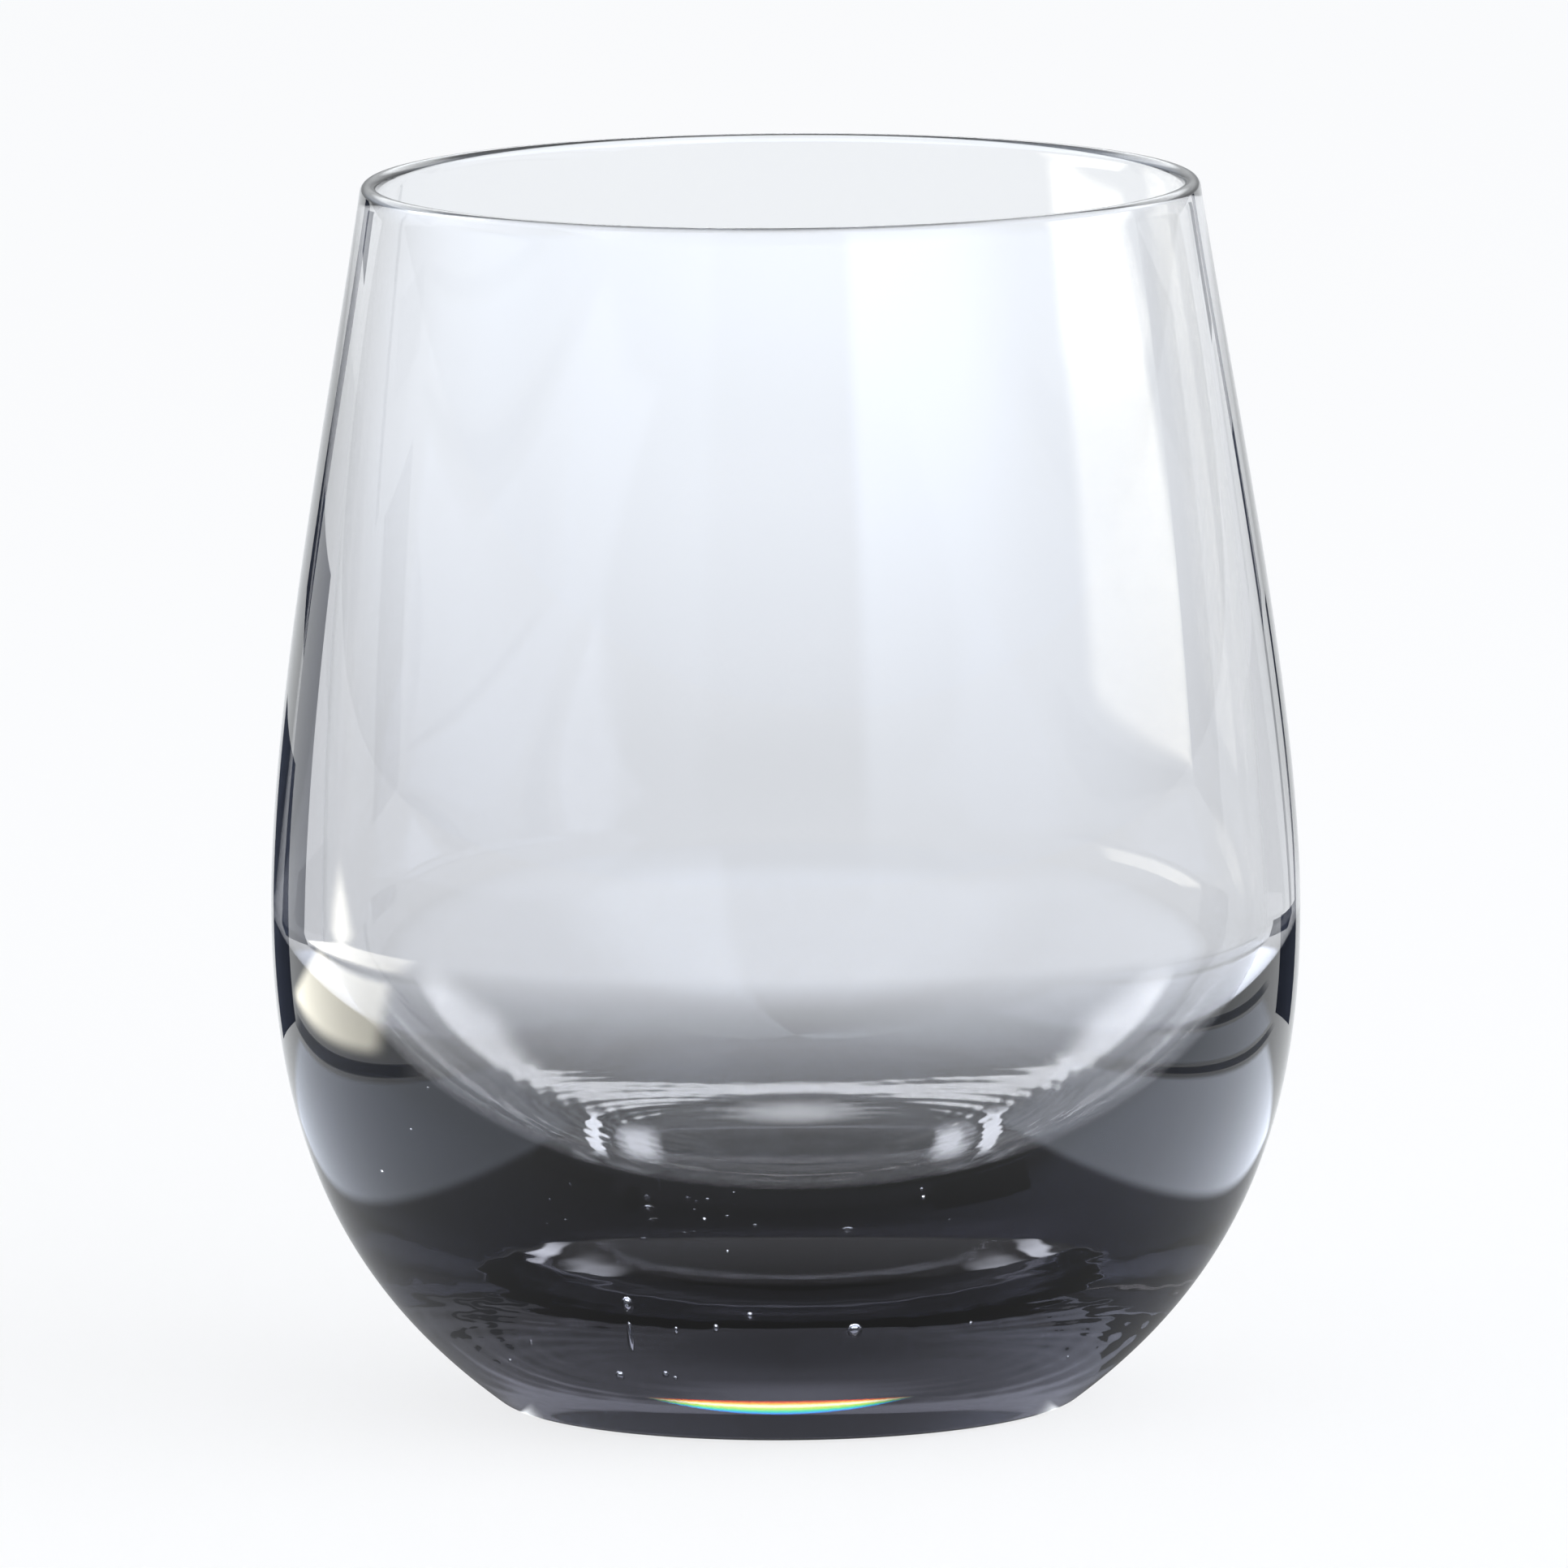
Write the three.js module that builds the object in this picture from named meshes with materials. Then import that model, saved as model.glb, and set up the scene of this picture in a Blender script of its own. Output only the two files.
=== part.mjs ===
// Water glass: a hand-blown tumbler of smoke-grey glass, a thin round bowl on a heavy base.
// Millimetres, +Z up. The origin is the centre of the flat foot that the glass stands on.
import * as THREE from 'three';

// Outside of the glass, from the foot to the rim
const glassHeight = 100;
const footRadius = 22.9;
const footRounding = 1.8;
const flankLean = THREE.MathUtils.degToRad(53);
const flankPull = 15.7;
const bellyRadius = 42;
const bellyHeight = 40.3;
const bellyPullDown = 18.3;
const bellyPullUp = 16.7;
const rimRadius = 34.2;
const rimLean = THREE.MathUtils.degToRad(8.7);
const rimPull = 18.1;

// Inside of the glass: the walls and the cavity
const rimWall = 1.4;
const bellyWall = 3.4;
const cavityRimPull = 18;
const cavityPullUp = 18;
const cavityPullDown = 11.1;
const cavityFloorHeight = 14.2;
const cavityFloorRadius = 12.6;
const cavityFloorPull = 16.4;
const cavityDip = 1.4;
const cavityDipRadius = 22;

// Join between the blown bowl and the gather of glass that was put on below it
const bowlFloorWall = 3;
const joinEdgeRise = 1.4;

// Steps of the outlines and of the turn about the axis
const turnSteps = 64;
const roundingSteps = 4;
const lipSteps = 6;
const baseFlankSteps = 6;
const bowlFlankSteps = 8;
const wallSteps = 10;
const cavitySteps = 10;
const floorSteps = 3;
const joinSteps = 6;
const halvingSteps = 50;

// Points are (radius, height). The foot is a flat disc that turns up into the flank on a small radius.
const footEdge = new THREE.Vector2(footRadius, 0);
const footRoundingCurve = new THREE.EllipseCurve(
  footRadius, footRounding, footRounding, footRounding, -Math.PI / 2, -flankLean,
);
const flankStart = footRoundingCurve.getPoint(1);
const belly = new THREE.Vector2(bellyRadius, bellyHeight);

// The flank swells from the foot to the belly, which is the widest place of the glass.
const flank = new THREE.CubicBezierCurve(
  flankStart,
  new THREE.Vector2(Math.sin(flankLean), Math.cos(flankLean)).multiplyScalar(flankPull).add(flankStart),
  new THREE.Vector2(bellyRadius, bellyHeight - bellyPullDown),
  belly,
);

// The rim is a fire-polished half round, as wide as the wall and leaning in with it.
const lipRadius = rimWall / 2;
const lip = new THREE.EllipseCurve(
  rimRadius - lipRadius, glassHeight - lipRadius, lipRadius, lipRadius, rimLean, rimLean + Math.PI,
);
const outerRim = lip.getPoint(0);
const innerRim = lip.getPoint(1);
const rimRise = new THREE.Vector2(-Math.sin(rimLean), Math.cos(rimLean));

// Above the belly the wall draws in to the rim.
const upperWall = new THREE.CubicBezierCurve(
  belly,
  new THREE.Vector2(bellyRadius, bellyHeight + bellyPullUp),
  rimRise.clone().multiplyScalar(-rimPull).add(outerRim),
  outerRim,
);

// The cavity runs down from the rim to the belly, and from there round to its floor.
const cavityBelly = new THREE.Vector2(bellyRadius - bellyWall, bellyHeight);
const cavityWall = new THREE.CubicBezierCurve(
  innerRim,
  rimRise.clone().multiplyScalar(-cavityRimPull).add(innerRim),
  new THREE.Vector2(cavityBelly.x, cavityBelly.y + cavityPullUp),
  cavityBelly,
);
const cavityFloorEdge = new THREE.Vector2(cavityFloorRadius, cavityFloorHeight);
const cavityRound = new THREE.CubicBezierCurve(
  cavityBelly,
  new THREE.Vector2(cavityBelly.x, cavityBelly.y - cavityPullDown),
  new THREE.Vector2(cavityFloorRadius + cavityFloorPull, cavityFloorHeight),
  cavityFloorEdge,
);
const cavityFloor = new THREE.LineCurve(cavityFloorEdge, new THREE.Vector2(0, cavityFloorHeight));

// The floor of the cavity and the foot of its wall dip towards the axis.
function dipped(point) {
  const share = THREE.MathUtils.smoothstep(cavityDipRadius - point.x, 0, cavityDipRadius);
  return new THREE.Vector2(point.x, point.y - cavityDip * share);
}

// Where a curve that rises all the way reaches a height, by halving.
function parameterAtHeight(curve, height) {
  let low = 0;
  let high = 1;
  for (let step = 0; step < halvingSteps; step += 1) {
    const middle = (low + high) / 2;
    if (curve.getPoint(middle).y < height) {
      low = middle;
    } else {
      high = middle;
    }
  }
  return (low + high) / 2;
}

// Points of a curve from one parameter to another, without the point at the first one.
function pointsAfter(curve, from, to, steps) {
  return Array.from({ length: steps }, (_, i) => curve.getPoint(from + (to - from) * (i + 1) / steps));
}

// The two gathers meet on a shallow dish that rises from under the bowl's floor to the flank,
// where its edge lies a little above the cavity's floor.
const joinParameter = parameterAtHeight(flank, cavityFloorHeight + joinEdgeRise);
const joinEdge = flank.getPoint(joinParameter);
const joinCentreHeight = cavityFloorHeight - cavityDip - bowlFloorWall;
const join = Array.from({ length: joinSteps }, (_, i) => {
  const share = i / joinSteps;
  const rise = (joinEdge.y - joinCentreHeight) * share ** 2;
  return new THREE.Vector2(joinEdge.x * share, joinCentreHeight + rise);
}).concat([joinEdge]);

// A solid of revolution about Z from an outline that runs anticlockwise from the axis back to the axis.
function turned(name, outline, material) {
  const geometry = new THREE.LatheGeometry(outline, turnSteps);
  geometry.rotateX(Math.PI / 2);
  const mesh = new THREE.Mesh(geometry, material);
  mesh.name = name;
  return mesh;
}

// Smoke-grey glass: pale where the wall is thin, and nearly black through the depth of the base.
const thinSmokeGlass = new THREE.MeshStandardMaterial({
  color: 0xd9dde4, roughness: 0.03, metalness: 0, transparent: true, opacity: 0.35,
});
const deepSmokeGlass = new THREE.MeshStandardMaterial({
  color: 0x3a3941, roughness: 0.03, metalness: 0, transparent: true, opacity: 0.85,
});

// Heavy base: the gather under the bowl, ground flat below.
const heavyBase = turned('heavy_base', [
  new THREE.Vector2(0, 0),
  footEdge,
  ...pointsAfter(footRoundingCurve, 0, 1, roundingSteps),
  ...pointsAfter(flank, 0, joinParameter, baseFlankSteps),
  ...join.slice(0, -1).reverse(),
], deepSmokeGlass);

// Bowl: the blown bubble with its thin wall, its polished rim and the dished floor of the cavity.
const bowl = turned('bowl', [
  ...join,
  ...pointsAfter(flank, joinParameter, 1, bowlFlankSteps),
  ...pointsAfter(upperWall, 0, 1, wallSteps),
  ...pointsAfter(lip, 0, 1, lipSteps),
  ...pointsAfter(cavityWall, 0, 1, wallSteps),
  ...pointsAfter(cavityRound, 0, 1, cavitySteps).map(dipped),
  ...pointsAfter(cavityFloor, 0, 1, floorSteps).map(dipped),
], thinSmokeGlass);

const waterGlass = new THREE.Group();
waterGlass.add(heavyBase, bowl);

export default waterGlass;
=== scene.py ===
# Water glass: a blown tumbler of smoke-grey glass, dressed over its solids and lit in a plain studio.
# Metres, +Z up, in the frame of the solids: the origin is the centre of the flat foot.
import math

import bpy
import numpy as np
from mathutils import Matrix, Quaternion, Vector


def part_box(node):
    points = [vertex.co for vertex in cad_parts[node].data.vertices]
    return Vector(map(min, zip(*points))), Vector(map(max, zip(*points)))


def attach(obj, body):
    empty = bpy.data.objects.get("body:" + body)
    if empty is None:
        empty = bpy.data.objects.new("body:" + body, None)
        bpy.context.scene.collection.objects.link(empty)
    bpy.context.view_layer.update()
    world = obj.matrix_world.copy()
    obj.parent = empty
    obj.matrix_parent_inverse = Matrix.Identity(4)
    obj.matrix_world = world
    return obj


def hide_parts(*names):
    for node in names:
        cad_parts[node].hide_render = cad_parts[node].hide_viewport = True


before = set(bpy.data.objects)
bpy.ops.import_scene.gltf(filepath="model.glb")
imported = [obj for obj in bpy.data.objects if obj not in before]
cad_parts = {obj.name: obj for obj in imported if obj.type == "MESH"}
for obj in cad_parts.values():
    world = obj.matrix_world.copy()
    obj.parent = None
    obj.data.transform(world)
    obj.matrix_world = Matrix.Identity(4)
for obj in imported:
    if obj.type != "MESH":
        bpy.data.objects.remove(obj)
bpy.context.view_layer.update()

# The body of the glass: the thin blown bowl and the heavy gather under it, which are one when cold.
# It is soda-lime glass, turned in a mould while it was blown, fire-polished at the rim, ground flat below.
# One closed skin runs from the foot up the flank, over the rim and down into the cavity.
scene = bpy.context.scene
mm = 0.001
belly_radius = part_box("bowl")[1][0] / mm
glass_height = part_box("bowl")[1][2] / mm
foot_radius = 22.9
foot_rounding = 1.8
flank_lean = math.radians(53)
flank_pull = 15.7
belly_height = 40.3
belly_pull_down = 18.3
belly_pull_up = 16.7
rim_radius = 34.2
rim_lean = math.radians(8.7)
rim_pull = 18.1
rim_wall = 1.4
belly_wall = 3.4
cavity_rim_pull = 18.0
cavity_pull_up = 18.0
cavity_pull_down = 11.1
cavity_floor_height = 14.2
cavity_floor_radius = 12.6
cavity_floor_pull = 16.4
cavity_dip = 1.4
cavity_dip_radius = 22.0
rounding_steps, flank_steps, upper_wall_steps, lip_steps = 10, 56, 48, 14
cavity_wall_steps, cavity_round_steps, cavity_floor_steps = 64, 180, 20


def bezier(start, start_pull, end_pull, end, steps):
    """A cubic curve: its control points in shares of (1-t)^3, 3(1-t)^2 t, 3(1-t)t^2 and t^3."""
    t = np.linspace(0.0, 1.0, steps + 1)[:, None]
    control = [np.asarray(point, dtype=float) for point in (start, start_pull, end_pull, end)]
    shares = [(1 - t) ** 3, 3 * (1 - t) ** 2 * t, 3 * (1 - t) * t**2, t**3]
    return sum(share * point for share, point in zip(shares, control))


def arc(centre, radius, start, end, steps):
    """Part of a circle: the centre plus the radius times the cosine and sine of the angle."""
    angle = np.linspace(start, end, steps + 1)
    return np.stack([centre[0] + radius * np.cos(angle), centre[1] + radius * np.sin(angle)], axis=1)


# Outlines hold (radius, height) in millimetres. The outside starts on the axis, under the foot,
# whose flat has rings at these shares of its radius.
foot_rings = np.array([0.0, 0.5, 0.9, 0.985])
foot = np.stack([foot_radius * foot_rings, 0 * foot_rings], axis=1)
rounding = arc((foot_radius, foot_rounding), foot_rounding, -math.pi / 2, -flank_lean, rounding_steps)
flank_start = rounding[-1]
belly = np.array([belly_radius, belly_height])
flank_rise = np.array([math.sin(flank_lean), math.cos(flank_lean)])
flank = bezier(
    flank_start, flank_start + flank_pull * flank_rise, belly - [0, belly_pull_down], belly, flank_steps
)
lip_radius = rim_wall / 2
lip_centre = np.array([rim_radius - lip_radius, glass_height - lip_radius])
lip = arc(lip_centre, lip_radius, rim_lean, rim_lean + math.pi, lip_steps)
rim_rise = np.array([-math.sin(rim_lean), math.cos(rim_lean)])
upper_wall = bezier(
    belly, belly + [0, belly_pull_up], lip[0] - rim_pull * rim_rise, lip[0], upper_wall_steps
)
outside = np.concatenate([foot, rounding, flank[1:], upper_wall[1:], lip[1:-1]])

# The inside follows from the rim down to the axis, on the floor of the cavity.
cavity_belly = np.array([belly_radius - belly_wall, belly_height])
cavity_wall = bezier(
    lip[-1],
    lip[-1] - cavity_rim_pull * rim_rise,
    cavity_belly + [0, cavity_pull_up],
    cavity_belly,
    cavity_wall_steps,
)
floor_edge = np.array([cavity_floor_radius, cavity_floor_height])
cavity_round = bezier(
    cavity_belly,
    cavity_belly - [0, cavity_pull_down],
    floor_edge + [cavity_floor_pull, 0],
    floor_edge,
    cavity_round_steps,
)
cavity_floor = np.linspace(floor_edge, [0.0, cavity_floor_height], cavity_floor_steps + 1)
cavity_low = np.concatenate([cavity_round, cavity_floor[1:]])
# The floor and the foot of the cavity's wall dip towards the axis, by a smooth step of the distance from it.
dip_share = np.clip(1 - cavity_low[:, 0] / cavity_dip_radius, 0, 1)
cavity_low[:, 1] -= cavity_dip * dip_share**2 * (3 - 2 * dip_share)
inside = np.concatenate([cavity_wall, cavity_low[1:]])

# Turning in the mould left fine crossing ripples inside, low on two sides of the cavity.
# Each wave has a length down the wall, a height, a phase and a number of waves round the wall.
ripple_waves = [
    (1.6, 0.013, 0.0, 29),
    (2.3, 0.018, 1.9, -19),
    (3.7, 0.018, 4.0, 11),
    (6.4, 0.010, 2.2, 1),
]
# Share of the ripples that stays on the front and back, and the heights between which they come and go
ripple_least = 0.04
ripple_start, ripple_low, ripple_full, ripple_top = 13.0, 14.0, 16.5, 20.0
# The bubble sits a little towards +X of the axis, so the wall is thicker on the other side.
cavity_shift = 0.5
turn_steps = 216
turn = np.arange(turn_steps) / turn_steps * 2 * math.pi


def ripple_height(path, height, angle):
    """Sum of sine waves of the outline's path and the angle.

    They fade on the floor, up the wall and, by the squared cosine of the angle, away from +X and -X."""
    waves = sum(
        tall * np.sin(2 * math.pi * path / length + phase + count * angle)
        for length, tall, phase, count in ripple_waves
    )
    waves = waves * (ripple_least + (1 - ripple_least) * np.cos(angle) ** 2)
    rise = np.clip((height - ripple_start) / (ripple_low - ripple_start), 0, 1)
    fall = np.clip((ripple_top - height) / (ripple_top - ripple_full), 0, 1)
    return waves * rise * fall


def turned_skin():
    """The outlines turned about Z: x = r cos(angle) and y = r sin(angle), inside with ripples and the shift.

    Gives the points, millimetres, as a grid of turn by outline, without the two points on the axis."""
    outline = np.concatenate([outside, inside])[1:-1]
    step = np.gradient(inside, axis=0)
    path = np.concatenate([[0], np.cumsum(np.linalg.norm(np.diff(inside, axis=0), axis=1))])
    normal = np.stack([step[:, 1], -step[:, 0]], axis=1) / np.linalg.norm(step, axis=1, keepdims=True)
    radius = np.repeat(outline[None, :, 0], turn_steps, axis=0)
    height = np.repeat(outline[None, :, 1], turn_steps, axis=0)
    ripples = ripple_height(path[None, :], inside[None, :, 1], turn[:, None])[:, :-1]
    first = len(outside) - 1
    radius[:, first:] += ripples * normal[None, :-1, 0]
    height[:, first:] += ripples * normal[None, :-1, 1]
    shift = np.zeros(len(outline))
    below_rim = (glass_height - inside[:-1, 1]) / (glass_height - belly_height)
    shift[first:] = cavity_shift * np.clip(below_rim, 0, 1)
    return np.stack(
        [radius * np.cos(turn)[:, None] + shift, radius * np.sin(turn)[:, None], height], axis=-1
    )


def skin_faces(turns, rings):
    """Faces of a turned grid: four-sided ones between neighbours, and a fan of threes round each pole.

    Point (i, j) of the grid is number i * rings + j, and the two poles come after the grid."""
    i, j = np.meshgrid(np.arange(turns), np.arange(rings - 1), indexing="ij")
    here = i * rings + j
    beside = (i + 1) % turns * rings + j
    sides = np.stack([here, beside, beside + 1, here + 1], axis=-1).reshape(-1, 4)
    k = np.arange(turns)
    following = (k + 1) % turns
    start, end = turns * rings, turns * rings + 1
    first_fan = np.stack([np.full(turns, start), following * rings, k * rings], axis=-1)
    last_fan = np.stack([np.full(turns, end), (k + 1) * rings - 1, following * rings + rings - 1], axis=-1)
    return sides, np.concatenate([first_fan, last_fan])


skin = turned_skin()
poles = np.array([[0.0, 0.0, 0.0], [cavity_shift, 0.0, cavity_floor_height - cavity_dip]])
skin_points = np.concatenate([skin.reshape(-1, 3), poles])
skin_sides, skin_fans = skin_faces(turn_steps, skin.shape[1])

# Seeds: small gas bubbles caught in the lower gather, drawn a little upright as the hot glass was turned.
# Each is a hollow, so its faces look into it. Angles are from the front, -Y, towards +X.
# Angle (degrees), distance from the axis, height, width and length (millimetres)
seeds = [
    (-24.0, 30.3, 13.4, 1.0, 1.5),
    (-25.0, 28.6, 10.6, 0.6, 3.0),
    (-30.9, 24.8, 7.4, 0.8, 1.0),
    (-11.0, 29.3, 11.6, 0.5, 0.8),
    (-6.0, 28.1, 12.9, 0.55, 0.75),
    (-16.8, 30.2, 11.2, 0.4, 0.8),
    (-11.6, 31.1, 20.7, 0.35, 0.4),
    (-8.3, 32.1, 18.1, 0.3, 0.35),
    (-44.3, 28.1, 9.5, 0.35, 0.65),
    (-51.7, 27.3, 7.4, 0.4, 0.4),
    (-21.3, 26.0, 7.5, 0.55, 0.7),
    (-19.5, 26.2, 7.1, 0.4, 0.45),
    (28.8, 28.5, 11.6, 0.35, 0.4),
    (51.7, 27.3, 7.3, 0.35, 0.4),
    (18.5, 31.8, 22.2, 0.35, 0.4),
    (-60.4, 35.5, 22.3, 0.4, 0.4),
    (10.4, 27.2, 11.6, 1.3, 1.3),
]
seed_turns, seed_rings = 14, 9


def seed_shell(angle, distance, height, width, length):
    """An upright ellipsoid: sines and cosines of two angles times half the width and half the length."""
    lean = np.linspace(-math.pi / 2, math.pi / 2, seed_rings + 2)
    around = np.arange(seed_turns) / seed_turns * 2 * math.pi
    centre = np.array(
        [distance * math.sin(math.radians(angle)), -distance * math.cos(math.radians(angle)), height]
    )
    x = width / 2 * np.cos(lean)[None, 1:-1] * np.cos(around)[:, None]
    y = width / 2 * np.cos(lean)[None, 1:-1] * np.sin(around)[:, None]
    z = length / 2 * np.broadcast_to(np.sin(lean)[None, 1:-1], x.shape)
    ends = np.array([[0, 0, -length / 2], [0, 0, length / 2]])
    return np.concatenate([np.stack([x, y, z], axis=-1).reshape(-1, 3), ends]) + centre


seed_sides, seed_fans = skin_faces(seed_turns, seed_rings)
seed_points = [seed_shell(*seed) for seed in seeds]
starts = len(skin_points) + np.arange(len(seeds)) * len(seed_points[0])
glass_points = np.concatenate([skin_points, *seed_points]) * mm
glass_sides = np.concatenate([skin_sides] + [seed_sides[:, ::-1] + start for start in starts])
glass_fans = np.concatenate([skin_fans] + [seed_fans[:, ::-1] + start for start in starts])

glass_mesh = bpy.data.meshes.new("smoke_glass_body")
glass_mesh.from_pydata(glass_points.tolist(), [], glass_sides.tolist() + glass_fans.tolist())
glass_mesh.polygons.foreach_set("use_smooth", np.ones(len(glass_mesh.polygons), dtype=bool))
glass_mesh.update()
glass = bpy.data.objects.new("smoke_glass_body", glass_mesh)
scene.collection.objects.link(glass)


def linear(code):
    """A colour written as sRGB hex, as linear red, green and blue."""
    part = np.array([int(code[i : i + 2], 16) for i in (1, 3, 5)]) / 255
    return np.where(part <= 0.04045, part / 12.92, ((part + 0.055) / 1.055) ** 2.4)


def add_node(tree, kind, settings=None, links=None):
    """Adds a node, gives its inputs and attributes their settings, and links its inputs."""
    node = tree.nodes.new(kind)
    for name, value in (settings or {}).items():
        if isinstance(name, int) or name in node.inputs:
            node.inputs[name].default_value = value
        else:
            setattr(node, name, value)
    for name, source in (links or {}).items():
        tree.links.new(source, node.inputs[name])
    return node


def bare_material(name):
    """A new material whose node tree is still empty."""
    material = bpy.data.materials.new(name)
    material.use_nodes = True
    material.node_tree.nodes.clear()
    return material


# Smoke glass: soda-lime glass coloured grey in the melt, with a clear fire-polished surface.
# The colour is in the depth: a thin wall is nearly clear, and the base is almost black.
smoke_depth = 10 * mm
smoke_seen_through = linear("#CBCBCE")
absorption = -np.log(smoke_seen_through) / smoke_depth
# The shader absorbs its density times one minus its colour, which is this much in the strongest channel.
strongest_share = 0.9
smoke_density = absorption.max() / strongest_share
smoke_glass = bare_material("smoke_glass")
tree = smoke_glass.node_tree
skin_shader = add_node(
    tree,
    "ShaderNodeBsdfPrincipled",
    {"Base Color": (1, 1, 1, 1), "Roughness": 0.0, "IOR": 1.52, "Transmission Weight": 1.0},
)
depth_shader = add_node(
    tree,
    "ShaderNodeVolumeAbsorption",
    {"Color": (*(1 - absorption / smoke_density), 1), "Density": smoke_density},
)
add_node(
    tree,
    "ShaderNodeOutputMaterial",
    links={"Surface": skin_shader.outputs[0], "Volume": depth_shader.outputs[0]},
)
glass_mesh.materials.append(smoke_glass)
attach(glass, "root")
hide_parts("bowl", "heavy_base")

# The floor: a plain pale sheet that the glass stands on, with the smallest gap under the foot.
# The lens sees it nearly white with a soft shadow. The glass sees it glowing white all round, with a painted
# shadow under its foot.
floor_half = 8.0
floor_drop = 0.2 * mm
floor_sides = [(-1, -1), (1, -1), (1, 1), (-1, 1)]
floor_points = [(x * floor_half, y * floor_half, -floor_drop) for x, y in floor_sides]
one_face = [(0, 1, 2, 3)]
floor_mesh = bpy.data.meshes.new("floor")
floor_mesh.from_pydata(floor_points, [], one_face)
floor = bpy.data.objects.new("floor", floor_mesh)
scene.collection.objects.link(floor)
# Share of plain white in what the lens sees, and distances from the axis between which the painted shade that
# the glass sees lightens
lens_white_share = 0.75
shade_start = 0.012
shade_end = 0.125
shade_level = 0.05
painted_shade_colour = shade_level * linear("#FFFBFA")
open_colour = linear("#F9FCFF")
# Sockets of a mix node's two colours and of its result
mix_first, mix_second, mix_result = 6, 7, 2
pale_floor = bare_material("pale_floor")
tree = pale_floor.node_tree
path_kind = add_node(tree, "ShaderNodeLightPath").outputs
place = add_node(tree, "ShaderNodeTexCoord").outputs["Object"]
away = add_node(tree, "ShaderNodeVectorMath", {"operation": "LENGTH"}, {0: place}).outputs["Value"]
# Painted shade: for rays from the glass the sheet glows, dark under the foot and lighter with distance from
# the axis.
open_share = add_node(
    tree, "ShaderNodeMapRange", {"From Min": shade_start, "From Max": shade_end}, {"Value": away}
).outputs[0]
bent_painted_shade_colour = add_node(
    tree,
    "ShaderNodeMix",
    {"data_type": "RGBA", mix_first: (*painted_shade_colour, 1), mix_second: (*open_colour, 1)},
    {0: open_share},
).outputs[mix_result]
bent_ray = add_node(
    tree,
    "ShaderNodeMath",
    {"operation": "MAXIMUM"},
    {0: path_kind["Is Glossy Ray"], 1: path_kind["Is Transmission Ray"]},
).outputs[0]
lens_white = add_node(
    tree, "ShaderNodeMath", {"operation": "MULTIPLY", 1: lens_white_share}, {0: path_kind["Is Camera Ray"]}
).outputs[0]
sheet = add_node(tree, "ShaderNodeBsdfDiffuse", {"Color": (*linear("#F8F8F9"), 1)}).outputs[0]
white = add_node(tree, "ShaderNodeEmission", {"Color": (1, 1, 1, 1), "Strength": 1.0}).outputs[0]
bent_sheet = add_node(tree, "ShaderNodeEmission", {"Strength": 1.0}, {"Color": bent_painted_shade_colour}).outputs[0]
lens_sheet = add_node(tree, "ShaderNodeMixShader", links={0: lens_white, 1: sheet, 2: white}).outputs[0]
seen_sheet = add_node(tree, "ShaderNodeMixShader", links={0: bent_ray, 1: lens_sheet, 2: bent_sheet})
add_node(tree, "ShaderNodeOutputMaterial", links={"Surface": seen_sheet.outputs[0]})
floor_mesh.materials.append(pale_floor)

# The studio, as the glass sees it: a cool bright side towards the lens and a strong white light high behind.
# The lens gets a white ground, and the floor an even fill.
studio = bpy.data.worlds.new("studio")
scene.world = studio
studio.use_nodes = True
tree = studio.node_tree
tree.nodes.clear()


def soft_zones(tree, zones):
    """Sum over the zones of the product of their steps.

    A step is what it measures, its start and end, and the strengths there, with a smooth change between."""
    total = None
    for steps in zones:
        product = None
        for source, start, end, low, high in steps:
            span = {"From Min": start, "From Max": end, "To Min": low, "To Max": high}
            span["interpolation_type"] = "SMOOTHSTEP"
            step = add_node(tree, "ShaderNodeMapRange", span, {"Value": source})
            if product is not None:
                pair = {0: product.outputs[0], 1: step.outputs[0]}
                step = add_node(tree, "ShaderNodeMath", {"operation": "MULTIPLY"}, pair)
            product = step
        if total is not None:
            pair = {0: total.outputs[0], 1: product.outputs[0]}
            product = add_node(tree, "ShaderNodeMath", {"operation": "ADD"}, pair)
        total = product
    return total.outputs[0]


path_kind = add_node(tree, "ShaderNodeLightPath").outputs
through_glass = add_node(
    tree,
    "ShaderNodeMath",
    {"operation": "MAXIMUM"},
    {0: path_kind["Is Glossy Ray"], 1: path_kind["Is Transmission Ray"]},
).outputs[0]
direction = add_node(tree, "ShaderNodeTexCoord").outputs["Generated"]
east, back, rise = add_node(tree, "ShaderNodeSeparateXYZ", links={0: direction}).outputs
to_lens = add_node(tree, "ShaderNodeMath", {"operation": "MULTIPLY", 1: -1.0}, {0: back}).outputs[0]
bearing = add_node(tree, "ShaderNodeMath", {"operation": "ARCTAN2"}, {0: east, 1: to_lens}).outputs[0]
# Steps that several zones share. Bearings run from the lens towards +X.
over_table = (rise, -0.02, 0.14, 0.0, 1.0)
left_end = (bearing, math.radians(-170), math.radians(-115), 0.0, 1.0)
right_end = (bearing, math.radians(95), math.radians(150), 1.0, 0.0)
# Towards the lens: pale walls, a panel on each side, a window far on the left, and the light over the lens
pale_walls = [(to_lens, -0.3, 0.3, 0.0, 1.3)]
right_panel = [(bearing, math.radians(16), math.radians(21), 0.0, 1.7), right_end, over_table]
left_panel = [(bearing, math.radians(-21), math.radians(-16), 0.35, 0.0), left_end, over_table]
left_window = [(bearing, math.radians(-110), math.radians(-30), 2.5, 0.0), left_end, over_table]
light_over_lens = [(rise, 0.09, 0.24, 0.0, 3.2), (to_lens, 0.3, 0.7, 0.0, 1.0)]
near_strength = soft_zones(tree, [pale_walls, right_panel, left_panel, left_window, light_over_lens])
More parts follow.
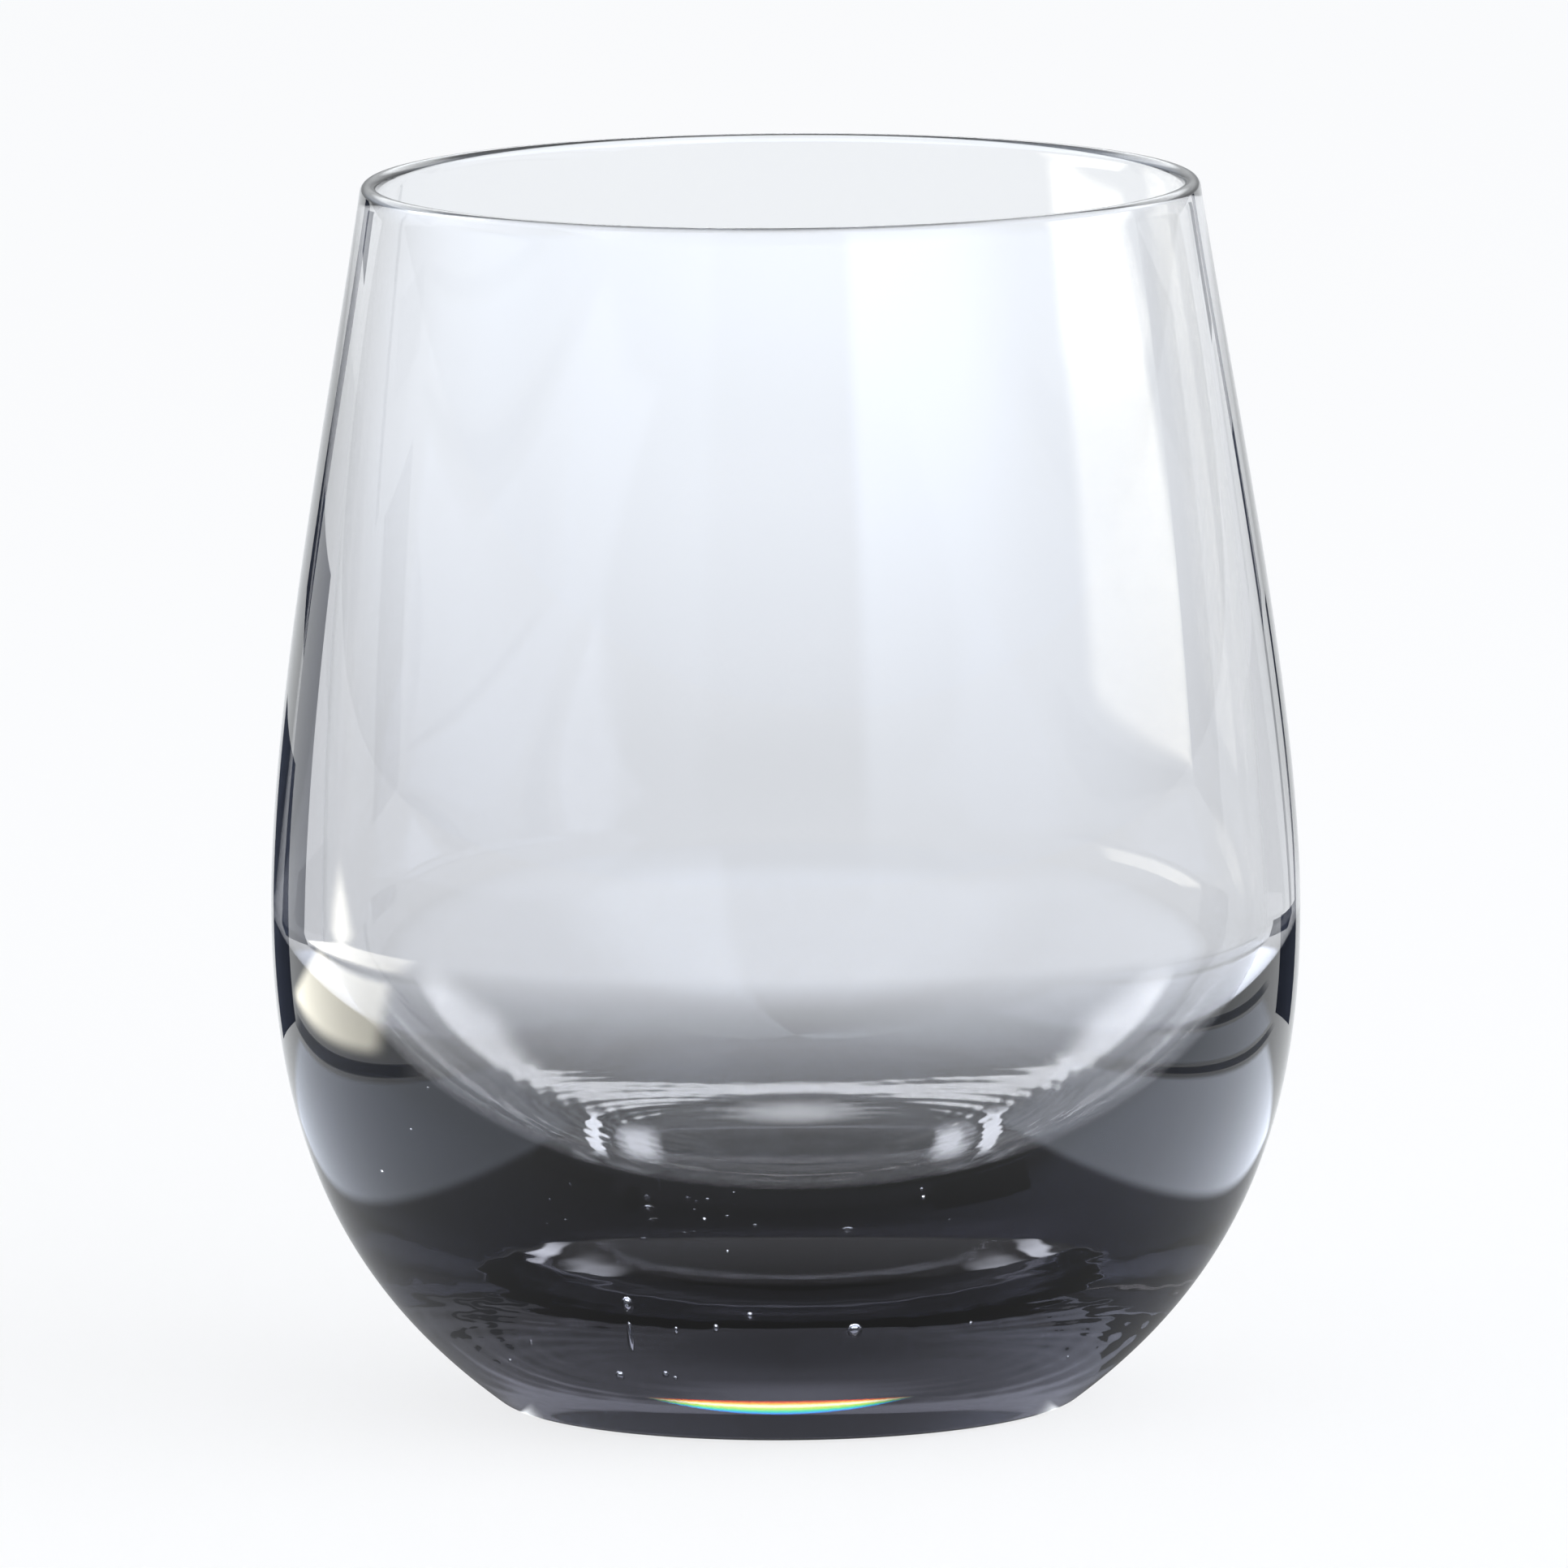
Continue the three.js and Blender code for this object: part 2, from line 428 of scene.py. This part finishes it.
# Away from the lens: far walls, and the back light, dimmer for rays that crossed the skin at most twice
far_walls = [(rise, 0.05, 0.2, 0.5, 1.1), (back, -0.3, 0.3, 0.0, 1.0)]
few_crossings = (path_kind["Transmission Depth"], 2.0, 3.0, 0.3, 1.0)
back_light = [
    (rise, 0.2, 0.34, 0.0, 9.0),
    (rise, 0.5, 0.62, 1.0, 0.0),
    (back, 0.3, 0.6, 0.0, 1.0),
    few_crossings,
]
far_strength = soft_zones(tree, [far_walls, back_light])
near_colour = (*linear("#DCE8FB"), 1)
far_colour = (*linear("#F6F9FC"), 1)
fill_colour = (*linear("#EEF2F8"), 1)
fill_strength = 0.9
near_room = add_node(tree, "ShaderNodeBackground", {"Color": near_colour}, {"Strength": near_strength})
far_room = add_node(tree, "ShaderNodeBackground", {"Color": far_colour}, {"Strength": far_strength})
room = add_node(tree, "ShaderNodeAddShader", links={0: near_room.outputs[0], 1: far_room.outputs[0]})
fill = add_node(tree, "ShaderNodeBackground", {"Color": fill_colour, "Strength": fill_strength}).outputs[0]
ground = add_node(tree, "ShaderNodeBackground", {"Color": (1, 1, 1, 1), "Strength": 1.0}).outputs[0]
for_light = add_node(tree, "ShaderNodeMixShader", links={0: through_glass, 1: fill, 2: room.outputs[0]})
for_lens = add_node(
    tree,
    "ShaderNodeMixShader",
    links={0: path_kind["Is Camera Ray"], 1: for_light.outputs[0], 2: ground},
)
add_node(tree, "ShaderNodeOutputWorld", links={"Surface": for_lens.outputs[0]})

# The soft box: a wide lamp on the right that gives the floor its soft shadow.
# The glass doesn't see it, because the studio is what it mirrors.
lamp_width, lamp_height, lamp_radiance = 3.0, 1.2, 1.8
# A flat lamp's power is this many times its radiance and its area.
power_factor = 4
lamp_place = Vector((1.3, -0.7, 0.6))
lamp_aim = Vector((0, 0, 0.05))
lamp = bpy.data.lights.new("soft_box", "AREA")
lamp.shape = "RECTANGLE"
lamp.size = lamp_width
lamp.size_y = lamp_height
lamp.energy = lamp_radiance * power_factor * lamp_width * lamp_height
lamp.color = linear("#F2F6FC")
soft_box = bpy.data.objects.new("soft_box", lamp)
soft_box.location = lamp_place
soft_box.rotation_euler = (lamp_aim - lamp_place).to_track_quat("-Z", "Y").to_euler()
soft_box.visible_camera = False
soft_box.visible_glossy = False
soft_box.visible_transmission = False
scene.collection.objects.link(soft_box)

# Flags: dark cards that stand behind the glass out of the picture, for the dark lines along its edges.
# Only mirrored rays see them, so that they don't show through the bowl.
# Distance and height (metres), left and right edge (degrees from the back, +Y, towards +X)
flags = [
    (0.18, 0.04, -44.0, -26.0),
    (0.18, 0.018, 30.0, 46.0),
    (0.25, 0.045, 26.0, 28.5),
    (0.9, 0.08, -31.0, -24.5),
    (0.9, 0.08, 25.5, 29.0),
]
dark_card = bare_material("dark_card")
tree = dark_card.node_tree
card = add_node(tree, "ShaderNodeBsdfDiffuse", {"Color": (*linear("#474B57"), 1)}).outputs[0]
mirrored = add_node(tree, "ShaderNodeLightPath").outputs["Glossy Depth"]
clear = add_node(tree, "ShaderNodeBsdfTransparent").outputs[0]
seen_card = add_node(tree, "ShaderNodeMixShader", links={0: mirrored, 1: clear, 2: card}).outputs[0]
add_node(tree, "ShaderNodeOutputMaterial", links={"Surface": seen_card})


def stand_aside(name, points, faces, paint):
    """A card that only the glass sees: no picture, no light on the floor and no shadow. Gives its mesh."""
    mesh = bpy.data.meshes.new(name)
    mesh.from_pydata(points, [], faces)
    mesh.materials.append(paint)
    aside = bpy.data.objects.new(name, mesh)
    aside.visible_camera = False
    aside.visible_diffuse = False
    aside.visible_shadow = False
    scene.collection.objects.link(aside)
    return mesh


for number, (distance, height, left_edge, right_edge) in enumerate(flags):
    left, right = np.radians([left_edge, right_edge])
    corners = [(left, 0.0), (right, 0.0), (right, height), (left, height)]
    points = [(distance * math.sin(angle), distance * math.cos(angle), up) for angle, up in corners]
    stand_aside(f"flag_{number}", points, one_face, dark_card)

# Boards: pale lit sheets that lie on both sides of the glass, for the flanks of its base to mirror.
# Only mirrored rays see them, so that they don't show through the bowl.
# Left and right edge, front and back edge (metres), colour, radiance, share of each half that fades out
boards = [
    (-0.25, -0.136, 0.0, 0.16, "#FFFCEE", 5.8, 0.3),
    (-0.135, -0.122, -0.03, 0.14, "#E6EDFA", 0.4, 0.3),
    (-0.121, -0.06, -0.08, 0.12, "#E6EDFA", 1.6, 0.15),
    (0.06, 0.12, -0.08, 0.1, "#E6EDFA", 2.6, 0.15),
    (0.121, 0.127, -0.05, 0.12, "#E6EDFA", 0.4, 0.3),
    (0.128, 0.16, -0.08, 0.12, "#E6EDFA", 1.6, 0.2),
    (0.161, 0.172, -0.05, 0.14, "#E6EDFA", 0.4, 0.3),
]
# Painted pools of light: glowing sheets under the foot stand in for the light that the base gathers on the
# table, in the same terms, which all rays in the glass see
painted_gathered_light = [
    (-0.0222, -0.0198, -0.013, 0.016, "#F8FCFF", 4.0, 0.5),
    (-0.0192, -0.0125, -0.012, 0.012, "#F8FCFF", 2.6, 0.8),
    (0.0135, 0.0192, -0.012, 0.012, "#F8FCFF", 2.6, 0.8),
    (0.0198, 0.0222, -0.013, 0.016, "#F8FCFF", 3.4, 0.5),
]
board_rise = -0.1 * mm
half = 0.5
# Each is a glowing sheet: first the boards, then the painted pools of light under the foot.
for number, (left, right, front, behind, colour, radiance, fade) in enumerate(boards + painted_gathered_light):
    board_or_painted_pool = bare_material(f"board_or_painted_pool_{number}")
    tree = board_or_painted_pool.node_tree
    spread = add_node(tree, "ShaderNodeTexCoord").outputs["Generated"]
    across, along, _ = add_node(tree, "ShaderNodeSeparateXYZ", links={0: spread}).outputs
    steps = []
    for way in (across, along):
        offset = add_node(tree, "ShaderNodeMath", {"operation": "SUBTRACT", 1: half}, {0: way}).outputs[0]
        off_middle = add_node(tree, "ShaderNodeMath", {"operation": "ABSOLUTE"}, {0: offset}).outputs[0]
        steps.append((off_middle, half * (1 - fade), half, 1.0, 0.0))
    if number < len(boards):
        mirrored = add_node(tree, "ShaderNodeLightPath").outputs["Glossy Depth"]
        steps.append((mirrored, 0.0, 1.0, 0.0, 1.0))
    cover = soft_zones(tree, [steps])
    clear = add_node(tree, "ShaderNodeBsdfTransparent").outputs[0]
    glow_settings = {"Color": (*linear(colour), 1), "Strength": radiance}
    glow = add_node(tree, "ShaderNodeEmission", glow_settings).outputs[0]
    sheet = add_node(tree, "ShaderNodeMixShader", links={0: cover, 1: clear, 2: glow}).outputs[0]
    add_node(tree, "ShaderNodeOutputMaterial", links={"Surface": sheet})
    corners = [(left, front), (right, front), (right, behind), (left, behind)]
    stand_aside(f"board_{number}", [(x, y, board_rise) for x, y in corners], one_face, board_or_painted_pool)

# The rainbow: a thin tapered arc of split light on the table before the foot, which the flank mirrors.
# This glass bends all colours alike, so a lit sheet stands in for the light that the real base splits.
# Only rays that never entered the glass see it.
rainbow_radius = 27.55 * mm
rainbow_width = 1.5 * mm
rainbow_middle = math.radians(-2)
rainbow_reach = math.radians(27)
rainbow_steps = 24
rainbow_radiance = 14.0
# Place across the arc, from its outer edge in, and the colour there
rainbow_colours = [
    (0.0, "#3A0A02"),
    (0.12, "#E0500A"),
    (0.26, "#FFC94A"),
    (0.4, "#FFFBE6"),
    (0.6, "#B6DC2A"),
    (0.78, "#22CC9C"),
    (0.92, "#0A8EE0"),
    (1.0, "#0A1880"),
]
# The share runs from the middle of the reach to its ends, and the arc is one minus its square times as wide.
share = np.linspace(-1.0, 1.0, rainbow_steps + 1)
around = rainbow_middle + rainbow_reach * share
edges = rainbow_radius - np.stack([0 * share, rainbow_width * (1 - share**2)])
rainbow_points = np.stack([edges * np.sin(around), -edges * np.cos(around), 0 * edges + board_rise], axis=-1)
k = np.arange(rainbow_steps)
rainbow_faces = np.stack([k, k + 1, k + rainbow_steps + 2, k + rainbow_steps + 1], axis=-1)
split_light = bare_material("split_light")
tree = split_light.node_tree
across = add_node(tree, "ShaderNodeAttribute", {"attribute_name": "across"}).outputs["Fac"]
along = add_node(tree, "ShaderNodeAttribute", {"attribute_name": "along"}).outputs["Fac"]
ramp = add_node(tree, "ShaderNodeValToRGB", links={"Fac": across})
stops = ramp.color_ramp.elements
for stop_place, _ in rainbow_colours[1:-1]:
    stops.new(stop_place)
for stop, (stop_place, colour) in zip(stops, rainbow_colours):
    stop.position = stop_place
    stop.color = (*linear(colour), 1)
crossings = add_node(tree, "ShaderNodeLightPath").outputs["Transmission Depth"]
cover = soft_zones(tree, [[(crossings, 0.0, 1.0, 1.0, 0.0), (along, 0.5, 1.0, 1.0, 0.0)]])
clear = add_node(tree, "ShaderNodeBsdfTransparent").outputs[0]
glow = add_node(tree, "ShaderNodeEmission", {"Strength": rainbow_radiance}, {"Color": ramp.outputs[0]})
sheet = add_node(tree, "ShaderNodeMixShader", links={0: cover, 1: clear, 2: glow.outputs[0]}).outputs[0]
add_node(tree, "ShaderNodeOutputMaterial", links={"Surface": sheet})
rainbow_mesh = stand_aside(
    "rainbow", rainbow_points.reshape(-1, 3).tolist(), rainbow_faces.tolist(), split_light
)
for name, rows in (("across", [0 * share, 0 * share + 1]), ("along", [abs(share), abs(share)])):
    rainbow_mesh.attributes.new(name, "FLOAT", "POINT").data.foreach_set("value", np.concatenate(rows))

# The camera: a long lens two metres away, eight degrees above the table, turned a hair as the picture was.
# Light may run round inside the base for many bounces before it leaves the glass.
frame_pixels = 1932
pixels_per_metre = 15107
camera_distance = 2.0
camera_rise = 0.1393
camera_roll = math.radians(0.45)
camera_aim = Vector((-0.00007, 0, 0.0504))
glass_bounces = 32
lens = bpy.data.cameras.new("camera")
lens.sensor_width = 36
lens.lens = lens.sensor_width * camera_distance * pixels_per_metre / frame_pixels
lens.clip_end = 50
camera = bpy.data.objects.new("camera", lens)
camera.location = camera_aim + camera_distance * Vector((0, -math.cos(camera_rise), math.sin(camera_rise)))
camera.rotation_mode = "QUATERNION"
camera_look = (camera_aim - camera.location).to_track_quat("-Z", "Y")
camera.rotation_quaternion = camera_look @ Quaternion((0, 0, 1), -camera_roll)
scene.collection.objects.link(camera)
scene.camera = camera
scene.view_settings.view_transform = "Standard"
scene.cycles.max_bounces = glass_bounces
scene.cycles.transmission_bounces = glass_bounces
scene.cycles.glossy_bounces = glass_bounces
